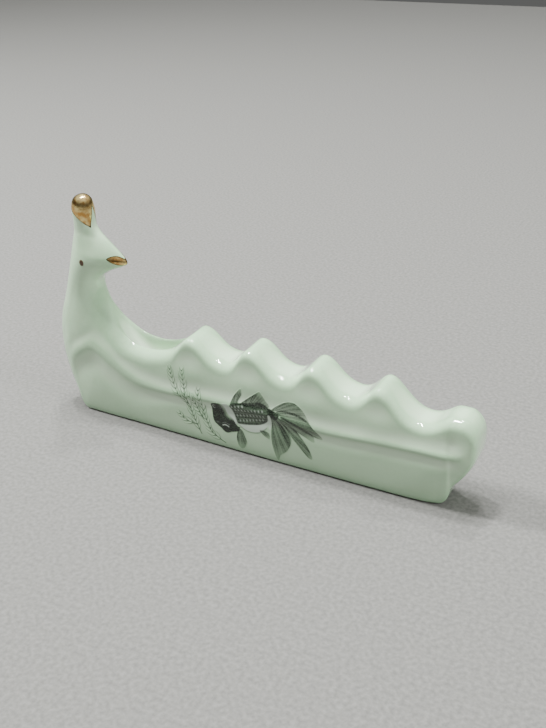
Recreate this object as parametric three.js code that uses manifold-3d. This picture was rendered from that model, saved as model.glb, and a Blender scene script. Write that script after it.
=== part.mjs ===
// A glazed porcelain brush rest shaped as a crested bird sitting like a boat: a slim upright neck and
// head at one end, a scooped trough behind it, and a back of five humps whose dips carry brush handles.
//
// Units are millimetres. +X runs from the neck to the tail, -Y is the decorated side, +Z is up.
// The origin is at the middle of the flat base, under the middle of the overall length.
//
// The porcelain is one slip-cast piece. Its gilding, eyes and transfer pictures are separate thin
// layers fired on to it; here each is an inlay let into the surface, with a small gap all round.

import * as THREE from 'three';
import { LoftGeometry } from 'three/addons/geometries/LoftGeometry.js';
import { mergeVertices } from 'three/addons/utils/BufferGeometryUtils.js';
import Module from 'manifold-3d';

// ---- driving dimensions --------------------------------------------------------------------------

const HEIGHT = 70.7; // base to the top of the crest

const HUMP_PITCH = 19.7; // between the crests of the first four humps
const TAIL_HUMP_PITCH = 20.7; // from the fourth hump to the one over the tail
const FIRST_HUMP_X = -17.9;
const HUMP_HEIGHTS = [33.7, 34.0, 33.1, 31.7, 27.7];
const DIP_HEIGHTS = [28.2, 28.0, 26.8, 24.1];
const DIP_LAG = 2.1; // each dip lies this far past the middle of its two humps
const CREST_SHARPNESS = 0.12; // share of second harmonic, which narrows the crests and widens the dips
const LAST_UPRIGHT_X = 62.0; // past this the back follows the table of cross-sections

const BASE_EDGE_RADIUS = 1.0;
const RIM_RADIUS = 2.7; // rounding along both edges of the back
const TROUGH_RIM_EXTRA = 1.0; // how much rounder the edges are beside the trough
const PEAK_RIM_LESS = 0.7; // how much sharper the edges are at the crests of the humps
const PEAK_RIM_Z = [29, 33]; // the edges sharpen as the back rises through these heights
const TROUGH_HALF_WIDTH = 3.6;
const FULL_TROUGH = 3; // beside a trough at least this deep the edges are at their roundest
const CORNER_SHARE = 0.8; // a corner's rounding takes up no more than this share of the half-width

// The line along each flank, and the grooves over and under it. On the chest the line is a little lower
// and wider, and the groove under it lies further down and is wider too.
const RIDGE_RISE = 0.55;
const RIDGE_SPREAD = 1.2;
const CHEST_RIDGE_LESS = 0.2;
const CHEST_RIDGE_WIDER = 1.1;
const GROOVE_DEPTH = 0.4;
const GROOVE_DROP = 2.9; // below the line
const GROOVE_SPREAD = 1.6;
const CHEST_GROOVE_DROP = 3.4;
const CHEST_GROOVE_SPREAD = 2.6;
const UPPER_GROOVE_SHARE = 0.4; // depth of the groove above the line, as a share of the one below
const UPPER_GROOVE_CLIMB = 3.4; // above the line
const UPPER_GROOVE_SPREAD = 1.8;
const CHEST_X = [-46, -22]; // over this stretch the flank goes from the chest panel to the plain line
const RELIEF_START_X = [-64, -58]; // over these stretches the relief fades in at the chest
const RELIEF_END_X = [62, 67]; // and out at the tail

// A soft swelling on the flank under each hump, and a soft hollow between it and the hump's crest: how far
// out, how far past the hump's middle, how far below its crest, and how wide along X and Z.
const PILLOW = { out: 0.14, past: 0.8, below: 11.4, spreadX: 5, spreadZ: 2.8 };
const PEAK_HOLLOW = { out: -0.42, past: 0.3, below: 6.2, spreadX: 3.8, spreadZ: 3.2 };

const SIDEWAYS = [0.75, 0.92]; // the relief fades in over these shares of a section's half-width
const FULL_RELIEF_HALF_WIDTH = 5; // sections narrower than this carry less relief

const FILM = 0.25; // thickness given to gilding and transfers
const FILM_GAP = 0.25; // space left under a film and round its edge

const ROWS = 92; // cross-sections along the bird

const GLAZE = { color: 0xb4c9b4, roughness: 0.15, metalness: 0 };
const GOLD = { color: 0xa8843a, roughness: 0.2, metalness: 1 };
const INK = { color: 0x20251f, roughness: 0.3, metalness: 0 };
const WEED = { color: 0x4d5b4c, roughness: 0.3, metalness: 0 };
const EYE = { color: 0x2e2117, roughness: 0.3, metalness: 0 };

// ---- cross-sections ------------------------------------------------------------------------------
// Each cross-section is a slice across the bird that contains the Y direction. Slices stand upright
// through the body, fan out through the chest and lie flat up the neck and head. In order, each gives:
//   [x, z] where it meets the lower or front outline,
//   [x, z] where it meets the back or beak outline, null taking the height of the humped back,
//   half-widths at the low end, the middle and the top end,
//   rounding of the low and the top end (0 a flat with a small edge radius, 1 a full oval),
//   depth of the trough.

const SLICES = [
  [[68.8, 19.7], [68.8, 20.7], [0.6, 0.6, 0.6], [0.9, 0.9], 0], // tail end
  [[68.7, 17.4], [68.7, 22.8], [3.5, 3.6, 3.5], [0.6, 0.6], 0], // tail face
  [[68.3, 15.8], [68.2, 24.6], [4.9, 5.1, 4.9], [0.4, 0.4], 0], // tail face edge
  [[67.5, 13.9], [67.3, 26.0], [5.3, 5.7, 5.4], [0.25, 0.25], 0], // tail corner
  [[66.3, 11.8], [66.1, 27.0], [5.3, 5.9, 5.5], [0.15, 0.1], 0], // tail top edge
  [[64.7, 9.3], [64.4, 27.7], [5.1, 6.1, 5.5], [0.08, 0], 0], // tail top
  [[62.4, 6.0], [62.0, null], [4.9, 6.3, 5.5], [0, 0], 0], // under the tail
  [[62.1, 4.2], [61.4, null], [4.7, 6.4, 5.5], [0, 0], 0], // foot crease
  [[61.8, 2.7], [60.9, null], [4.5, 6.5, 5.6], [0, 0], 0], // foot back
  [[60.9, 1.0], [60.1, null], [4.4, 6.5, 5.6], [0, 0], 0], // lower foot back
  [[59.5, 0], [59.1, null], [4.5, 6.5, 5.6], [0, 0], 0], // foot edge
  [[57.8, 0], [57.4, null], [4.9, 6.6, 5.6], [0, 0], 0], // foot
  [[55, 0], [55, null], [5.4, 6.7, 5.7], [0, 0], 0], // tail body
  [[40, 0], [40, null], [6.0, 6.9, 5.9], [0, 0], 0], // fourth hump
  [[20, 0], [20, null], [6.3, 7.1, 6.0], [0, 0], 0], // third hump
  [[0, 0], [0, null], [6.5, 7.2, 6.1], [0, 0], 0], // second hump
  [[-12, 0], [-12, null], [6.5, 7.2, 6.2], [0, 0], 0], // before the first hump
  [[-17.9, 0], [-17.9, null], [6.5, 7.2, 6.3], [0, 0], 0], // first hump
  [[-22, 0], [-21.3, 31.0], [6.5, 7.2, 6.4], [0, 0], 0.8], // slope into the trough
  [[-26.5, 0], [-24.5, 28.6], [6.5, 7.3, 6.5], [0, 0], 3.2], // trough end
  [[-32, 0], [-28.9, 27.0], [6.5, 7.3, 6.5], [0, 0], 5.2], // trough floor
  [[-39, 0], [-33.4, 26.4], [6.5, 7.3, 6.4], [0, 0], 4.4], // trough middle
  [[-46, 0], [-37.8, 27.0], [6.6, 7.3, 6.2], [0, 0.05], 3.2], // trough rise
  [[-53, 0], [-41.8, 28.8], [6.6, 7.3, 5.9], [0, 0.2], 1.8], // trough lip
  [[-58.6, 0], [-44.8, 31.3], [6.6, 7.2, 5.6], [0, 0.45], 0.8], // base corner
  [[-60.8, 1.0], [-46.2, 32.8], [6.4, 7.1, 5.5], [0.1, 0.6], 0.3], // chest foot
  [[-62.8, 4.4], [-47.7, 35.0], [6.3, 7.0, 5.4], [0.3, 0.75], 0.1], // lower chest
  [[-65.8, 10.8], [-49.3, 37.5], [6.2, 6.9, 5.3], [0.55, 0.88], 0], // chest
  [[-68.2, 17.4], [-50.1, 39.6], [5.9, 6.6, 5.2], [0.8, 0.92], 0], // breast
  [[-68.8, 23.2], [-50.6, 41.2], [5.5, 6.2, 5.1], [0.92, 0.92], 0], // breast front
  [[-67.8, 30.0], [-50.9, 42.4], [5.1, 5.7, 5.0], [0.92, 0.92], 0], // neck root
  [[-65.4, 36.6], [-51.0, 43.6], [4.9, 5.3, 4.8], [0.92, 0.92], 0], // neck
  [[-63.4, 42.4], [-50.7, 44.8], [4.8, 5.1, 4.5], [0.92, 0.92], 0], // upper neck
  [[-62.1, 46.6], [-49.2, 46.5], [4.8, 5.0, 4.0], [0.92, 0.92], 0], // throat
  [[-61.3, 49.6], [-45.8, 48.5], [4.8, 4.9, 2.9], [0.92, 0.92], 0], // jaw
  [[-60.7, 51.8], [-42.4, 50.0], [4.8, 4.8, 1.9], [0.92, 0.92], 0], // under the beak
  [[-60.2, 53.8], [-40.5, 51.4], [4.7, 4.5, 1.3], [0.92, 0.92], 0], // beak tip
  [[-59.7, 55.6], [-42.7, 53.8], [4.2, 4.0, 1.7], [0.92, 0.92], 0], // beak top
  [[-59.0, 57.8], [-46.2, 56.6], [3.6, 3.4, 2.0], [0.92, 0.92], 0], // forehead
  [[-58.4, 60.2], [-49.3, 59.1], [3.1, 2.9, 2.3], [0.92, 0.92], 0], // crown
  [[-58.2, 62.8], [-51.1, 61.9], [2.9, 2.9, 2.6], [0.92, 0.92], 0], // crest root
  [[-58.3, 66.0], [-51.1, 65.4], [3.1, 3.1, 3.0], [0.92, 0.92], 0], // crest
  [[-57.7, 68.6], [-51.4, 68.2], [2.8, 2.8, 2.7], [0.92, 0.92], 0], // crest bulb
  [[-56.4, 70.1], [-52.4, 70.0], [1.9, 1.9, 1.9], [0.92, 0.92], 0], // crest top
  [[-54.8, HEIGHT], [-54.1, HEIGHT], [0.4, 0.4, 0.4], [0.92, 0.92], 0], // crest tip
];

const RIDGE = [ // the line along each flank: it arches over the chest and then runs back to the tail
  [-63.0, 17.5], [-58.0, 21.8], [-53.0, 24.2], [-46.8, 21.2], [-40.5, 17.7], [-33.7, 15.7], [-27.4, 15.4],
  [-13, 16.2],
  [0.5, 16.6], [13.5, 16.4], [26, 15.8], [43.7, 16.8], [60, 17.4], [69, 17.8],
];

// ---- curves --------------------------------------------------------------------------------------

const clamp01 = (t) => Math.min(1, Math.max(0, t));
const smooth = (x, a, b) => THREE.MathUtils.smoothstep(x, a, b);
const bell = (x, centre, spread) => Math.exp(-(((x - centre) / spread) ** 2));

// Smooth curve through the points (xs, ys) that never overshoots them, so that level stretches stay level.
function shapeKeepingCurve(xs, ys) {
  const count = xs.length;
  const slope = [];
  for (let i = 0; i < count - 1; i++) slope.push((ys[i + 1] - ys[i]) / (xs[i + 1] - xs[i]));
  const tangent = [slope[0]];
  for (let i = 1; i < count - 1; i++) {
    if (slope[i - 1] * slope[i] <= 0) {
      tangent.push(0);
      continue;
    }
    const before = xs[i] - xs[i - 1];
    const after = xs[i + 1] - xs[i];
    const weightBefore = 2 * after + before;
    const weightAfter = after + 2 * before;
    tangent.push((weightBefore + weightAfter) / (weightBefore / slope[i - 1] + weightAfter / slope[i]));
  }
  tangent.push(slope[count - 2]);
  return (x) => {
    let i = 0;
    while (i < count - 2 && x > xs[i + 1]) i++;
    const span = xs[i + 1] - xs[i];
    const t = clamp01((x - xs[i]) / span);
    const back = 1 - t;
    return ys[i] * (1 + 2 * t) * back * back + tangent[i] * span * t * back * back
      + ys[i + 1] * t * t * (3 - 2 * t) - tangent[i + 1] * span * t * t * back;
  };
}

const humpX = HUMP_HEIGHTS.map((height, i) =>
  FIRST_HUMP_X + HUMP_PITCH * i + (i === HUMP_HEIGHTS.length - 1 ? TAIL_HUMP_PITCH - HUMP_PITCH : 0));
const dipX = DIP_HEIGHTS.map((height, i) => (humpX[i] + humpX[i + 1]) / 2 + DIP_LAG);

// Height of the humped back at x: half a wave from each crest down to the dip beside it.
function backHeight(x) {
  let i = 0;
  while (i < dipX.length - 1 && x > humpX[i + 1]) i++;
  const pastDip = x > dipX[i];
  const crestX = pastDip ? humpX[i + 1] : humpX[i];
  const crestZ = pastDip ? HUMP_HEIGHTS[i + 1] : HUMP_HEIGHTS[i];
  const phase = Math.PI * clamp01((x - crestX) / (dipX[i] - crestX));
  const wave = Math.cos(phase) + CREST_SHARPNESS * (Math.cos(2 * phase) - 1);
  return DIP_HEIGHTS[i] + (crestZ - DIP_HEIGHTS[i]) * (wave + 1) / 2;
}

const ridgeHeight = shapeKeepingCurve(RIDGE.map((p) => p[0]), RIDGE.map((p) => p[1]));

// How far the flank stands out beyond its plain width at (x, z).
function relief(x, z) {
  const above = z - ridgeHeight(x);
  const chest = 1 - smooth(x, CHEST_X[0], CHEST_X[1]);
  const ridgeSpread = RIDGE_SPREAD * (1 + CHEST_RIDGE_WIDER * chest);
  const grooveDrop = GROOVE_DROP + CHEST_GROOVE_DROP * chest;
  const grooveSpread = GROOVE_SPREAD + CHEST_GROOVE_SPREAD * chest;
  let out = RIDGE_RISE * (1 - CHEST_RIDGE_LESS * chest) * bell(above, 0, ridgeSpread);
  out -= UPPER_GROOVE_SHARE * GROOVE_DEPTH * bell(above, UPPER_GROOVE_CLIMB, UPPER_GROOVE_SPREAD);
  out -= GROOVE_DEPTH * bell(above, -grooveDrop, grooveSpread);
  out *= smooth(x, RELIEF_START_X[0], RELIEF_START_X[1]) * (1 - smooth(x, RELIEF_END_X[0], RELIEF_END_X[1]));
  humpX.forEach((middle, i) => {
    for (const form of [PILLOW, PEAK_HOLLOW]) {
      const across = bell(x, middle + form.past, form.spreadX);
      out += form.out * across * bell(z, HUMP_HEIGHTS[i] - form.below, form.spreadZ);
    }
  });
  return out;
}

// ---- the porcelain form --------------------------------------------------------------------------

const LOW_CORNER_STEPS = 2;
const FLANK_STEPS = 5;
const RIM_STEPS = 3;
const BACK_STEPS = 3;

// Half of a cross-section, from its low end to its top end, as points (along, out).
function halfOutline(height, half, round, trough, topZ) {
  const [lowHalf, midHalf, topHalf] = half;
  const width = (v) => {
    const t = v / height;
    return lowHalf + (4 * midHalf - 3 * lowHalf - topHalf) * t
      + (2 * lowHalf + 2 * topHalf - 4 * midHalf) * t * t;
  };
  const mix = THREE.MathUtils.lerp;
  const lowAlong = mix(Math.min(BASE_EDGE_RADIUS, height / 4), height / 2, round[0]);
  const lowAcross = mix(Math.min(BASE_EDGE_RADIUS, lowHalf * CORNER_SHARE), lowHalf, round[0]);
  const rim = RIM_RADIUS + TROUGH_RIM_EXTRA * smooth(trough, 0, FULL_TROUGH)
    - PEAK_RIM_LESS * smooth(topZ, PEAK_RIM_Z[0], PEAK_RIM_Z[1]);
  const topAlong = mix(Math.min(rim, height * 0.3), height / 2, round[1]);
  const topAcross = mix(Math.min(rim, topHalf * CORNER_SHARE), topHalf, round[1]);
  const dish = (out) => trough * (1 - Math.min(1, out / TROUGH_HALF_WIDTH) ** 3) ** 2;
  const points = [[0, 0]];
  for (let i = 0; i <= LOW_CORNER_STEPS; i++) {
    const turn = (Math.PI / 2) * (i / LOW_CORNER_STEPS);
    const along = lowAlong * (1 - Math.cos(turn));
    points.push([along, width(along) - lowAcross * (1 - Math.sin(turn))]);
  }
  for (let i = 1; i <= FLANK_STEPS; i++) {
    const along = mix(lowAlong, height - topAlong, i / FLANK_STEPS);
    points.push([along, width(along)]);
  }
  for (let i = 1; i <= RIM_STEPS; i++) {
    const turn = (Math.PI / 2) * (i / RIM_STEPS);
    const along = height - topAlong * (1 - Math.sin(turn));
    const out = width(along) - topAcross * (1 - Math.cos(turn));
    points.push([along - dish(out), out]);
  }
  const backHalf = topHalf - topAcross;
  for (let i = 1; i <= BACK_STEPS; i++) {
    const out = backHalf * (1 - i / BACK_STEPS);
    points.push([height - dish(out), out]);
  }
  return points;
}

// The whole bird as one loft, its skin moved in by inset.
function birdForm(wasm, inset) {
  const rows = SLICES.map(([low, top, half, round, trough]) =>
    [...low, top[0], top[1] ?? backHeight(top[0]), ...half, ...round, trough]);
  const travel = [0];
  for (let i = 1; i < rows.length; i++) {
    const lowStep = Math.hypot(rows[i][0] - rows[i - 1][0], rows[i][1] - rows[i - 1][1]);
    const topStep = Math.hypot(rows[i][2] - rows[i - 1][2], rows[i][3] - rows[i - 1][3]);
    travel.push(travel[i - 1] + (lowStep + topStep) / 2);
  }
  const columns = rows[0].map((value, k) => shapeKeepingCurve(travel, rows.map((row) => row[k])));
  const sections = [];
  for (let i = 0; i < ROWS; i++) {
    const at = (travel[travel.length - 1] * i) / (ROWS - 1);
    const [lowX, lowZ, topX, tableZ, h0, h1, h2, r0, r1, trough] = columns.map((curve) => curve(at));
    const onBack = topX >= FIRST_HUMP_X && topX <= LAST_UPRIGHT_X;
    const topZ = onBack ? backHeight(topX) : tableZ;
    const height = Math.hypot(topX - lowX, topZ - lowZ);
    const half = halfOutline(height, [h0, h1, h2], [r0, r1], trough, topZ).map(([along, out]) => {
      const x = lowX + ((topX - lowX) * along) / height;
      const z = lowZ + ((topZ - lowZ) * along) / height;
      const sideways = smooth(out / Math.max(h0, h1, h2), SIDEWAYS[0], SIDEWAYS[1]);
      return [x, out + relief(x, z) * sideways * Math.min(1, h1 / FULL_RELIEF_HALF_WIDTH), z];
    });
    const near = half.map(([x, out, z]) => new THREE.Vector3(x, -out, z));
    const far = half.slice(1, -1).reverse().map(([x, out, z]) => new THREE.Vector3(x, out, z));
    sections.push([...near, ...far]);
  }
  const loft = new LoftGeometry(sections, { capStart: true, capEnd: true });
  return asManifold(wasm, loft, inset);
}

// ---- solids --------------------------------------------------------------------------------------

// A closed three.js geometry as a solid. Its skin can be moved in by inset along the vertex normals.
function asManifold(wasm, geometry, inset = 0) {
  const bare = new THREE.BufferGeometry();
  bare.setAttribute('position', geometry.getAttribute('position').clone());
  if (geometry.index) bare.setIndex(geometry.index.clone());
  const merged = mergeVertices(bare, 1e-4);
  const position = merged.getAttribute('position');
  if (inset) {
    merged.computeVertexNormals();
    const normal = merged.getAttribute('normal');
    for (let i = 0; i < position.count; i++) {
      position.setXYZ(i, position.getX(i) - inset * normal.getX(i),
        position.getY(i) - inset * normal.getY(i), position.getZ(i) - inset * normal.getZ(i));
    }
  }
  return new wasm.Manifold(new wasm.Mesh({
    numProp: 3,
    vertProperties: new Float32Array(position.array),
    triVerts: new Uint32Array(merged.index.array),
  }));
}

function asGeometry(solid) {
  const mesh = solid.getMesh();
  const geometry = new THREE.BufferGeometry();
  geometry.setAttribute('position', new THREE.BufferAttribute(new Float32Array(mesh.vertProperties), 3));
  geometry.setIndex(new THREE.BufferAttribute(new Uint32Array(mesh.triVerts), 1));
  geometry.computeVertexNormals();
  return geometry;
}

// An outline drawn in the XZ plane, pushed through along Y from fromY to toY.
function throughY(wasm, shape, fromY, toY) {
  const geometry = new THREE.ExtrudeGeometry(shape, {
    depth: toY - fromY, bevelEnabled: false, curveSegments: 6,
  });
  geometry.rotateX(Math.PI / 2);
  geometry.translate(0, toY, 0);
  return asManifold(wasm, geometry);
}

// ---- painted outlines ----------------------------------------------------------------------------
// All lie in the XZ plane, as seen from the side. grow moves an outline out all round.

// A closed straight-sided outline through points, moved out by grow along each corner's own direction.
function outline(points, grow) {
  const around = points.map(([x, z]) => new THREE.Vector2(x, z));
  const turn = THREE.ShapeUtils.isClockWise(around) ? -1 : 1;
  return new THREE.Shape(around.map((p, i) => {
    const before = around[(i + around.length - 1) % around.length];
    const after = around[(i + 1) % around.length];
    const along = after.clone().sub(before).normalize();
    return new THREE.Vector2(p.x + turn * grow * along.y, p.y - turn * grow * along.x);
  }));
}

// A closed smooth outline through hand-placed points, with steps sides between each two.
function blob(points, grow, steps) {
  const knots = points.map(([x, z]) => new THREE.Vector3(x, z, 0));
  const curve = new THREE.CatmullRomCurve3(knots, true, 'centripetal');
  return outline(curve.getPoints(points.length * steps).slice(0, -1).map((p) => [p.x, p.y]), grow);
}

// A brush stroke of even width along a smooth path, with square ends and steps sides between each two points.
function stroke(points, width, grow, steps) {
  const curve = new THREE.SplineCurve(points.map(([x, z]) => new THREE.Vector2(x, z)));
  const count = Math.max(1, (points.length - 1) * steps);
  const half = width / 2 + grow;
  const right = [];
  const left = [];
  for (let i = 0; i <= count; i++) {
    const p = curve.getPoint(i / count);
    const along = curve.getTangent(i / count);
    const reach = i === 0 ? -grow : i === count ? grow : 0;
    const middle = along.clone().multiplyScalar(reach).add(p);
    right.push(new THREE.Vector2(middle.x + along.y * half, middle.y - along.x * half));
    left.push(new THREE.Vector2(middle.x - along.y * half, middle.y + along.x * half));
  }
  return new THREE.Shape([...right, ...left.reverse()]);
}

function ellipse([x, z], [radiusX, radiusZ], grow) {
  const shape = new THREE.Shape();
  shape.absellipse(x, z, radiusX + grow, radiusZ + grow, 0, Math.PI * 2);
  return shape;
}

// Pairs of fine leaves along a stem, each leaning back towards the stem's tip.
function leaves(stem, count, length) {
  const curve = new THREE.SplineCurve(stem.map(([x, z]) => new THREE.Vector2(x, z)));
  const strokes = [];
  for (let i = 0; i < count; i++) {
    const at = (i + 0.5) / count;
    const foot = curve.getPoint(at);
    const outward = curve.getTangent(at).negate();
    const lean = i % 2 ? LEAF_LEAN : -LEAF_LEAN;
    const tip = outward.rotateAround(new THREE.Vector2(), lean).multiplyScalar(length).add(foot);
    strokes.push([[foot.x, foot.y], [tip.x, tip.y]]);
  }
  return strokes;
}

const CREST_GILT = [[-64, 72.2], [-50.5, 60.4], [-46, 60.4], [-46, 76], [-64, 76]];
const BEAK_LEAF = [
  [-47.0, 52.9], [-45.6, 53.7], [-43.8, 53.8], [-42.4, 53.3], [-40.6, 52.0], [-41.0, 50.9], [-42.6, 50.7],
  [-44.2, 51.2], [-45.8, 52.0],
];
const EYE_CENTRE = [-53.9, 51.0];
const EYE_RADII = [0.85, 1.0];

const FISH_PARTS = [
  [[-10.9, 12.4], [-10.2, 15.6], [-7.5, 16.8], [-3.0, 17.0], [2, 18.4], [7, 18.6], [10.6, 18.0], // back
    [10.0, 14.2], [7, 10.4], [2, 8.0], [-2.4, 7.6], [-4.4, 6.2], [-7, 6.6], [-8.6, 9.6]], // belly and eyes
  [[-3.4, 16.0], [-2.4, 19.6], [0.2, 22.4], [-0.4, 19.2], [-0.8, 16.8]], // front of the back fin
  [[0.2, 17.4], [3.2, 21.0], [6.2, 23.0], [9.0, 22.0], [8.6, 19.6], [7.6, 17.8]], // back fin
  [[-1.6, 8.4], [-2.4, 3.8], [-0.9, 2.2], [1.2, 4.4], [0.6, 8.6]], // side fin
  [[9.4, 17.4], [14.4, 21.6], [19.0, 21.0], [22.4, 17.0], [25.4, 12.2], [19, 12.8], [12, 14.4]], // upper tail
  [[9.6, 15.8], [15, 14], [20.4, 9.6], [22.7, 5.0], [18.8, 6.4], [14.6, 10.4]], // middle tail
  [[9.4, 16.0], [14.4, 12.6], [15.6, 9.4], [13.8, 5.0], [11.4, 1.4], [9.8, 6.0]], // lower tail
];

const LARGE_SPRIG = [
  [[-24.1, 23.2], [-22.6, 18.7], [-19.7, 13.8], [-16.9, 8.6], [-14.6, 3.0]],
  [[-19.8, 23.9], [-19.2, 18.2], [-18.4, 11.4]],
  [[-22.0, 8.6], [-19.2, 6.8], [-15.6, 5.4]],
];
const LARGE_SPRIG_LEAVES = [7, 4, 2]; // on each stem in turn
const SMALL_SPRIG = [[[-14.8, 17.3], [-13.9, 13.2], [-12.4, 8.6], [-10.6, 4.9], [-6.4, 2.2]]];
const SMALL_SPRIG_LEAVES = [6];
const STEM_WIDTH = 0.5;
const LEAF_WIDTH = 0.45;
const LEAF_LENGTH = 2.8;
const LEAF_LEAN = 0.6; // angle between a leaf and its stem

function sprigShapes(stems, leafCounts) {
  const strokes = stems.flatMap((stem, i) => leaves(stem, leafCounts[i], LEAF_LENGTH));
  return (grow) => [
    ...stems.map((stem) => stroke(stem, STEM_WIDTH, grow, 3)),
    ...strokes.map((line) => stroke(line, LEAF_WIDTH, grow, 1)),
  ];
}

// ---- assembly ------------------------------------------------------------------------------------

const wasm = await Module();
wasm.setup();

const bird = birdForm(wasm, 0);
const underFilm = birdForm(wasm, FILM);
const pocketFloor = birdForm(wasm, FILM + FILM_GAP);
let porcelain = bird;

const group = new THREE.Group();

function addPiece(name, solid, finish) {
  const mesh = new THREE.Mesh(asGeometry(solid), new THREE.MeshStandardMaterial(finish));
  mesh.name = name;
  group.add(mesh);
}

// Lays a film over the bird inside the given outlines, and lets it into the porcelain.
// shapesAt(grow) gives the outlines, and [fromY, toY] is the stretch of the bird they reach.
function addFilm(name, shapesAt, [fromY, toY], finish) {
  const stencil = (grow) => shapesAt(grow)
    .map((shape) => throughY(wasm, shape, fromY - grow, toY + grow))
    .reduce((joined, next) => joined.add(next));
  const film = bird.intersect(stencil(0)).subtract(underFilm);
  porcelain = porcelain.subtract(stencil(FILM_GAP).subtract(pocketFloor));
  addPiece(name, film, finish);
}

const NEAR = [-12, -0.8]; // stretches of Y that the films on each side reach, past both flanks
const FAR = [0.8, 12];
const ACROSS = [-12, 12];

addFilm('crest_gilding', (grow) => [outline(CREST_GILT, grow)], ACROSS, GOLD);
addFilm('beak_gilding_near', (grow) => [blob(BEAK_LEAF, grow, 2)], NEAR, GOLD);
addFilm('beak_gilding_far', (grow) => [blob(BEAK_LEAF, grow, 2)], FAR, GOLD);
addFilm('eye_near', (grow) => [ellipse(EYE_CENTRE, EYE_RADII, grow)], NEAR, EYE);
addFilm('eye_far', (grow) => [ellipse(EYE_CENTRE, EYE_RADII, grow)], FAR, EYE);
addFilm('goldfish_transfer', (grow) => FISH_PARTS.map((part) => blob(part, grow, 3)), NEAR, INK);
addFilm('waterweed_large_transfer', sprigShapes(LARGE_SPRIG, LARGE_SPRIG_LEAVES), NEAR, WEED);
addFilm('waterweed_small_transfer', sprigShapes(SMALL_SPRIG, SMALL_SPRIG_LEAVES), NEAR, WEED);

addPiece('porcelain_body', porcelain, GLAZE);

export default group;
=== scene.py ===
"""A glazed porcelain brush rest: a crested bird that sits like a boat, with five humps along its back.

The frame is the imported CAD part. This script builds the finely glazed surface that stands for its
porcelain, the gilding, the eyes and the painted transfers, then a plain floor, lights and a camera.
Shapes are worked out in millimetres and made into objects in metres.
"""

import math

import bpy
import numpy as np
from mathutils import Matrix, Vector
from mathutils.bvhtree import BVHTree


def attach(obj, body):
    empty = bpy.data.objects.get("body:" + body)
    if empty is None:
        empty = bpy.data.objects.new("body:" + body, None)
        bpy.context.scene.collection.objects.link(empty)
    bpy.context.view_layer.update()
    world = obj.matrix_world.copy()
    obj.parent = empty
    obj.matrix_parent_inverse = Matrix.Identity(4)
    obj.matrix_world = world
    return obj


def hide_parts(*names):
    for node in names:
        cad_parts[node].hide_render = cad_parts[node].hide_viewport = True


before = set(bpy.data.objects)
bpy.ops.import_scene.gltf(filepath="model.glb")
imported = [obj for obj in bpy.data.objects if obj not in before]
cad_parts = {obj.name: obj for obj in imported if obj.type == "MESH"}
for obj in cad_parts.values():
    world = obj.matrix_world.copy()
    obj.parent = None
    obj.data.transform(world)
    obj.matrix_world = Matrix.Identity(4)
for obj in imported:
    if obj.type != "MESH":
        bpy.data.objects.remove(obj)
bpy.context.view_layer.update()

MM = 0.001

# ---- driving dimensions, in millimetres, as in the CAD part

HEIGHT = 70.7
HUMP_PITCH = 19.7
TAIL_HUMP_PITCH = 20.7
FIRST_HUMP_X = -17.9
HUMP_HEIGHTS = [33.7, 34.0, 33.1, 31.7, 27.7]
DIP_HEIGHTS = [28.2, 28.0, 26.8, 24.1]
DIP_LAG = 2.1
CREST_SHARPNESS = 0.12  # share of second harmonic, which narrows the crests and widens the dips
TIP_ROOM = 0.04  # left for the gilding on the crest's tip
LAST_UPRIGHT_X = 62.0  # past this the back follows the table of cross-sections

BASE_EDGE_RADIUS = 1.0
RIM_RADIUS = 2.7
TROUGH_RIM_EXTRA = 1.0  # how much rounder the edges are beside the trough
PEAK_RIM_LESS = 0.7  # how much sharper the edges are at the humps' crests
PEAK_RIM_Z = (29, 33)  # the edges sharpen as the back rises through these heights
TROUGH_HALF_WIDTH = 3.6
FULL_TROUGH = 3  # beside a trough at least this deep the edges are at their roundest
CORNER_SHARE = 0.8  # a corner's rounding takes up no more than this share of the half-width

# The line along each flank, and the grooves over and under it. On the chest the line is a little lower
# and wider, and the groove under it lies further down and is wider too.
RIDGE_RISE = 0.55
RIDGE_SPREAD = 1.2
CHEST_RIDGE_LESS = 0.2
CHEST_RIDGE_WIDER = 1.1
GROOVE_DEPTH = 0.40
GROOVE_DROP = 2.9  # below the line
GROOVE_SPREAD = 1.6
CHEST_GROOVE_DROP = 3.4
CHEST_GROOVE_SPREAD = 2.6
UPPER_GROOVE_SHARE = 0.4  # depth of the groove above the line, as a share of the one below
UPPER_GROOVE_CLIMB = 3.4  # above the line
UPPER_GROOVE_SPREAD = 1.8
CHEST_X = (-46, -22)  # over this stretch the flank goes from the chest panel to the plain line
RELIEF_START_X = (-64, -58)  # over these stretches the relief fades in at the chest
RELIEF_END_X = (62, 67)  # and out at the tail
SIDEWAYS = (0.75, 0.92)  # the relief fades in over these shares of a section's half-width
FULL_RELIEF_HALF_WIDTH = 5  # sections narrower than this carry less relief

# A soft swelling on the flank under each hump, and a soft hollow between it and the hump's crest: how far
# out, how far past the hump's middle, how far below its crest, and how wide along X and Z.
PILLOW = (0.14, 0.8, 11.4, 5, 2.8)
PEAK_HOLLOW = (-0.42, 0.3, 6.2, 3.8, 3.2)

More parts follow.
